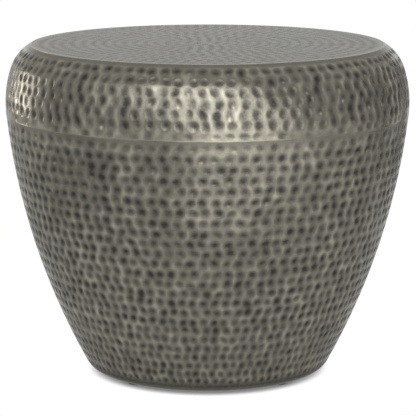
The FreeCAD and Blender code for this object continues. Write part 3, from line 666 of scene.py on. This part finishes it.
# The part of a noise's range that is spread over the whole of what it drives.
NOISE_SPAN = (0.3, 0.7)
RAGGED_SPAN = (0.25, 0.75)
CLOUD_SPAN = (0.38, 0.62)
PAINT_DUST_SPAN = (0.45, 0.75)
RUBBER_DUST_SPAN = (0.4, 0.75)

# The same for the patina: where its edge frays, where it covers the metal, and where the rubbed ground, partly
# a painted highlight, ends.
FRAYED_SPAN = (0.1, 0.6)
COVERED_SPAN = (0.02, 0.94)
WEAR_AND_SHEEN_SPAN = (0.08, 0.34)

# How many rays tell how open a place on the floor is.
OPENNESS_SAMPLES = 16


class Finish:
    """A material made of shader nodes."""

    def __init__(self, name):
        self.material = bpy.data.materials.new(name)
        self.material.use_nodes = True
        self.tree = self.material.node_tree
        self.shader = self.tree.nodes["Principled BSDF"]

    def node(self, kind, settings=None, **inputs):
        """Add a node, with inputs that are numbers or other nodes' outputs."""
        made = self.tree.nodes.new(kind)
        for key, value in (settings or {}).items():
            setattr(made, key, value)
        for key, value in inputs.items():
            name = int(key[1:]) if key[1:].isdigit() else key.replace("_", " ")
            self.feed(made.inputs[name], value)
        return made

    def feed(self, socket, value):
        """Link a socket to another node's output, or set it to a number or colour."""
        if isinstance(value, bpy.types.NodeSocket):
            self.tree.links.new(value, socket)
        else:
            socket.default_value = value

    def math(self, operation, first, second=0.0):
        """Reckon with two values."""
        return self.node("ShaderNodeMath", {"operation": operation}, i0=first, i1=second).outputs[0]

    def noise(self, where, scale, detail, rough=0.5):
        """Return a cloudy noise with a number of cycles per metre."""
        return self.node(
            "ShaderNodeTexNoise", Vector=where, Scale=scale, Detail=detail, Roughness=rough).outputs["Fac"]

    def spread(self, value, span, result):
        """Map a span of values on a range of results."""
        return self.node(
            "ShaderNodeMapRange",
            i0=value, i1=span[0], i2=span[1], i3=result[0], i4=result[1]).outputs[0]

    def mix(self, factor, first, second):
        """Mix two colours."""
        return self.node(
            "ShaderNodeMix", {"data_type": "RGBA"}, i0=factor, i6=first, i7=second).outputs[2]

    def place(self):
        """Return the place on the piece, in metres."""
        return self.node("ShaderNodeTexCoord").outputs["Object"]

    def bump(self, height, strength, distance):
        """Give the surface a fine relief."""
        bumped = self.node("ShaderNodeBump", Height=height, Strength=strength, Distance=distance)
        self.feed(self.shader.inputs["Normal"], bumped.outputs[0])

    def openness(self, reach):
        """Return how open a place is, from 0 where things close by hide it to 1."""
        return self.node(
            "ShaderNodeAmbientOcclusion", {"samples": OPENNESS_SAMPLES}, Distance=reach).outputs["AO"]

    def set(self, **inputs):
        """Set or link the shader's own sockets, and return the material."""
        for key, value in inputs.items():
            self.feed(self.shader.inputs[key.replace("_", " ")], value)
        return self.material


def shaded(colour, share):
    """Return a colour at a share of its brightness."""
    return tuple(share * part for part in colour[:3]) + (1,)


def hammered_finish(name, metal, pale_metal, patina_and_painted_light, roughness, dullness, edge_tint):
    """Glossy beaten metal with rubbed high ground, partly a painted highlight, and a dark patina in each dent
    that also paints shade.
    """
    made = Finish(name)
    place = made.place()
    laid = made.node("ShaderNodeAttribute", {"attribute_name": "patina_and_painted_light"}).outputs["Fac"]
    ragged = made.spread(made.noise(place, scale=330.0, detail=3.0, rough=0.6), RAGGED_SPAN, (-0.16, 0.16))
    blotch = made.spread(made.noise(place, scale=45.0, detail=3.0), NOISE_SPAN, (0.9, 1.08))
    frayed = made.math("MULTIPLY", ragged, made.spread(laid, FRAYED_SPAN, (0.25, 1.0)))
    cover = made.spread(made.math("ADD", laid, frayed), COVERED_SPAN, (0.0, 1.0))
    dark = made.math("MULTIPLY", cover, blotch)
    cloud = made.spread(made.noise(place, scale=75.0, detail=4.0), CLOUD_SPAN, (0.0, 1.0))
    # Pale rubbed high ground, partly a painted highlight along the ridges, where little patina lies.
    wear_and_sheen = made.math("MULTIPLY", cloud, made.spread(laid, WEAR_AND_SHEEN_SPAN, (1.0, 0.0)))
    colour = made.mix(dark, made.mix(wear_and_sheen, metal, pale_metal), patina_and_painted_light)
    grain = made.noise(place, scale=700.0, detail=3.0)
    rough = made.math(
        "ADD", made.spread(grain, NOISE_SPAN, (roughness - 0.03, roughness + 0.05)),
        made.math("MULTIPLY", dark, dullness))
    made.bump(grain, strength=0.06, distance=0.0004)
    return made.set(Base_Color=colour, Metallic=1.0, Roughness=rough, Specular_Tint=edge_tint)


def plain_metal(name, colour, roughness):
    """Smooth metal with faint handling marks."""
    made = Finish(name)
    place = made.place()
    cloud = made.spread(made.noise(place, scale=60.0, detail=4.0), NOISE_SPAN, (0.0, 1.0))
    grain = made.noise(place, scale=900.0, detail=3.0)
    made.bump(grain, strength=0.05, distance=0.0003)
    return made.set(
        Base_Color=made.mix(cloud, shaded(colour, HANDLED_SHARE), colour), Metallic=1.0,
        Specular_Tint=EDGE_TINT,
        Roughness=made.spread(grain, NOISE_SPAN, (roughness - 0.04, roughness + 0.08)))


def spun_metal(name, colour):
    """Bare metal on the inside, with the fine rings that the spinning tool left."""
    made = Finish(name)
    place = made.place()
    height = made.node("ShaderNodeSeparateXYZ", Vector=place).outputs["Z"]
    ring = made.math("SINE", made.math("MULTIPLY", height, SPINNING_RINGS))
    cloud = made.spread(made.noise(place, scale=18.0, detail=5.0), NOISE_SPAN, (0.0, 1.0))
    made.bump(ring, strength=0.1, distance=0.0003)
    return made.set(
        Base_Color=made.mix(cloud, shaded(colour, SPUN_SHARE), colour), Metallic=1.0,
        Roughness=made.spread(made.noise(place, scale=300.0, detail=3.0), NOISE_SPAN, (0.36, 0.5)))


def black_paint(name):
    """Satin black paint, a little dusty and rubbed."""
    made = Finish(name)
    place = made.place()
    dust = made.spread(made.noise(place, scale=40.0, detail=5.0), PAINT_DUST_SPAN, (0.0, 1.0))
    grain = made.noise(place, scale=1400.0, detail=2.0)
    made.bump(grain, strength=0.12, distance=0.0003)
    return made.set(
        Base_Color=made.mix(dust, PAINT, PAINT_DUST),
        Roughness=made.spread(grain, NOISE_SPAN, (0.42, 0.58)))


def black_rubber(name):
    """Moulded rubber with a fine grain and a little floor dust."""
    made = Finish(name)
    place = made.place()
    dust = made.spread(made.noise(place, scale=120.0, detail=4.0), RUBBER_DUST_SPAN, (0.0, 1.0))
    grain = made.noise(place, scale=2200.0, detail=2.0)
    made.bump(grain, strength=0.2, distance=0.0002)
    return made.set(
        Base_Color=made.mix(dust, RUBBER, RUBBER_DUST),
        Roughness=made.spread(grain, NOISE_SPAN, (0.7, 0.9)))


def make_sheets():
    """Put the hammered sheets and the seam bead in place of the plain ones."""
    random = np.random.default_rng(SEED)
    body = hammered_finish("hammered_metal", METAL, METAL_PALE, PATINA_AND_PAINTED_SHADE, ROUGHNESS, DULLNESS, EDGE_TINT)
    top = hammered_finish(
        "hammered_top_metal", TOP_METAL, TOP_METAL_PALE, TOP_PATINA, TOP_ROUGHNESS, TOP_DULLNESS,
        TOP_EDGE_TINT)
    inside = spun_metal("spun_inside", INSIDE_METAL)
    weld = plain_metal("dressed_weld", WELD_METAL, WELD_ROUGHNESS)
    for maker, node, slot, materials in (
            (make_lower_shell, "lower_shell", "shell_metal", (body, inside)),
            (make_shoulder_shell, "shoulder_shell", "shell_metal", (body, inside)),
            (make_top, "top_disc", "top_metal", (top, inside)),
            (make_seam_bead, "seam_weld", "weld_metal", (weld,))):
        piece = maker(random)
        for material in materials:
            piece.data.materials.append(material)
        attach(piece, "root")
        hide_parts(node)


def finish_nodes():
    """Give every node that is carried over from the CAD its finish."""
    crease = plain_metal("dressed_crease", CREASE_METAL, WELD_ROUGHNESS)
    paint = black_paint("brace_paint")
    rubber = black_rubber("pad_rubber")
    zinc = plain_metal("fastener_zinc", ZINC, ZINC_ROUGHNESS)
    rivet = plain_metal("rivet_aluminium", RIVET_METAL, RIVET_ROUGHNESS)
    for names, material in (
            (("crown_weld",), crease),
            (("brace_bar_long", "brace_bar_cross", "base_ring"), paint),
            (("brace_rivets", "brace_centre_rivet"), rivet),
            (("foot_pad_1", "foot_pad_2", "foot_pad_3", "foot_pad_4"), rubber),
            (("foot_screws", "foot_washers", "foot_nuts"), zinc)):
        for name in names:
            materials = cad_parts[name].data.materials
            materials.clear()
            materials.append(material)


# The studio, in metres. Reaches are how near a thing must be to shade the floor.
FLOOR_SIZE = 60.0
FLOOR_WHITE = (0.86, 0.86, 0.86, 1)
MATT_ROUGHNESS = 0.9
CONTACT_REACH = 0.010
CONTACT_DARKEST = 0.03
MIRRORED_REACH = 0.14
MIRRORED_DARKEST = 0.62
ROOM_STRENGTH = 0.92

# The photograph's camera, with its lens and sensor in millimetres.
SENSOR_WIDTH = 36.0
LENS = 200.3
LENS_SHIFT = 0.0012
CAMERA_PLACE = (0.0, -3.1746, 0.8166)
CAMERA_TILT = 79.46


def rectangle(name, width, height):
    """Make a level rectangle round the origin."""
    across, up = width / 2, height / 2
    mesh = bpy.data.meshes.new(name)
    mesh.from_pydata(
        [(-across, -up, 0), (across, -up, 0), (across, up, 0), (-across, up, 0)], [], [(0, 1, 2, 3)])
    made = bpy.data.objects.new(name, mesh)
    bpy.context.scene.collection.objects.link(made)
    return made


def make_floor():
    """A wide pale floor that shows white, to the camera and in the metal, and keeps the table's shadow."""
    floor = rectangle("floor", FLOOR_SIZE, FLOOR_SIZE)
    made = Finish("floor_white")
    made.set(Base_Color=FLOOR_WHITE, Roughness=MATT_ROUGHNESS)
    path = made.node("ShaderNodeLightPath").outputs
    mirrored = made.math("MAXIMUM", path["Is Glossy Ray"], path["Is Transmission Ray"])
    seen = made.math("MAXIMUM", path["Is Camera Ray"], mirrored)
    contact = made.openness(CONTACT_REACH)
    soft_edge = made.math("MULTIPLY", contact, made.math("SUBTRACT", 2.0, contact))
    plain_view = made.spread(soft_edge, (0.0, 1.0), (CONTACT_DARKEST, 1.0))
    mirror_view = made.spread(made.openness(MIRRORED_REACH), (0.0, 1.0), (MIRRORED_DARKEST, 1.0))
    view = made.mix(path["Is Camera Ray"], mirror_view, plain_view)
    glow = made.node("ShaderNodeEmission", Color=view, Strength=1.0).outputs[0]
    mixed = made.node("ShaderNodeMixShader", i0=seen, i1=made.shader.outputs[0], i2=glow)
    made.feed(made.tree.nodes["Material Output"].inputs["Surface"], mixed.outputs[0])
    floor.data.materials.append(made.material)


def facing(place, target, roll=0.0):
    """Return the turn that points a lamp or a card at a target, rolled about its own line."""
    aim = (Vector(target) - Vector(place)).to_track_quat("-Z", "Y")
    return (aim @ Quaternion((0, 0, 1), math.radians(roll))).to_euler()


def add_softbox(name, place, target, width, height, glow, roll=0.0, colour=(1, 1, 1)):
    """Hang a soft rectangular lamp of a given brightness that is never seen itself."""
    data = bpy.data.lights.new(name, "AREA")
    data.shape = "RECTANGLE"
    data.size, data.size_y = width, height
    data.energy = glow * math.pi * width * height
    data.color = colour
    lamp = bpy.data.objects.new(name, data)
    lamp.location = place
    lamp.rotation_euler = facing(place, target, roll)
    lamp.visible_camera = False
    bpy.context.scene.collection.objects.link(lamp)


def add_card(name, place, target, width, height, grey):
    """Place a grey card that the metal mirrors and that is never seen itself."""
    card = rectangle(name, width, height)
    card.location = place
    card.rotation_euler = facing(place, target)
    card.visible_camera = False
    matt = Finish(name + "_matt").set(Base_Color=(grey, grey, grey, 1), Roughness=MATT_ROUGHNESS)
    card.data.materials.append(matt)


def light_room():
    """Light the room evenly with white."""
    world = bpy.data.worlds.new("studio")
    bpy.context.scene.world = world
    world.use_nodes = True
    room = world.node_tree.nodes["Background"]
    room.inputs["Color"].default_value = (1, 1, 1, 1)
    room.inputs["Strength"].default_value = ROOM_STRENGTH


def hang_lamps():
    """Hang the three front lamps of the main highlight, and those that light the sides, back and foot."""
    add_softbox(
        "key_softbox", (0.06, -1.15, 0.74), (0.06, 0.0, 0.74), width=0.50, height=1.50, glow=1.0, roll=28.0)
    add_softbox(
        "tall_softbox", (0.08, -1.20, 0.86), (0.08, 0.0, 0.86), width=1.20, height=1.35, glow=0.7, roll=28.0)
    add_softbox(
        "wide_softbox", (0.02, -1.25, 0.72), (0.02, 0.0, 0.72), width=2.45, height=0.85, glow=1.25, roll=-26.0)
    add_softbox(
        "low_softbox", (0.55, -0.95, 0.02), (0.55, -0.95, 1.0), width=1.4, height=0.8, glow=0.5)
    add_softbox(
        "side_softbox", (-1.00, -0.83, 0.75), (0.0, 0.0, 0.40), width=0.8, height=0.8, glow=0.4)
    add_softbox(
        "left_softbox", (-1.25, 0.70, 0.46), (0.0, 0.0, 0.40), width=0.42, height=0.44, glow=5.4,
        colour=(1.0, 0.94, 0.88))
    add_softbox(
        "back_softbox", (0.0, 3.0, 0.87), (0.0, 0.0, 0.43), width=4.0, height=0.7, glow=0.42)
    add_softbox(
        "right_softbox", (0.92, 0.52, 0.50), (0.0, 0.0, 0.40), width=0.07, height=0.6, glow=1.6)


def place_cards():
    """Place the cards that darken the metal towards its edges."""
    add_card("right_card", (0.93, 0.24, 0.37), (0.0, 0.0, 0.37), width=0.16, height=0.66, grey=0.4)
    add_card("far_right_card", (0.76, 0.76, 0.30), (0.0, 0.0, 0.30), width=0.26, height=0.54, grey=0.4)
    add_card("left_floor_card", (-0.86, -0.22, 0.04), (-0.86, -0.22, 1.0), width=0.42, height=0.7, grey=0.55)


def make_camera():
    """The photograph's view: a long lens in front of the table, a little above it."""
    data = bpy.data.cameras.new("camera")
    data.sensor_width = SENSOR_WIDTH
    data.lens = LENS
    data.shift_x = LENS_SHIFT
    camera = bpy.data.objects.new("camera", data)
    camera.location = CAMERA_PLACE
    camera.rotation_euler = (math.radians(CAMERA_TILT), 0.0, 0.0)
    bpy.context.scene.collection.objects.link(camera)
    bpy.context.scene.camera = camera


bpy.context.scene.view_settings.view_transform = "Standard"
make_sheets()
finish_nodes()
make_floor()
light_room()
hang_lamps()
place_cards()
make_camera()
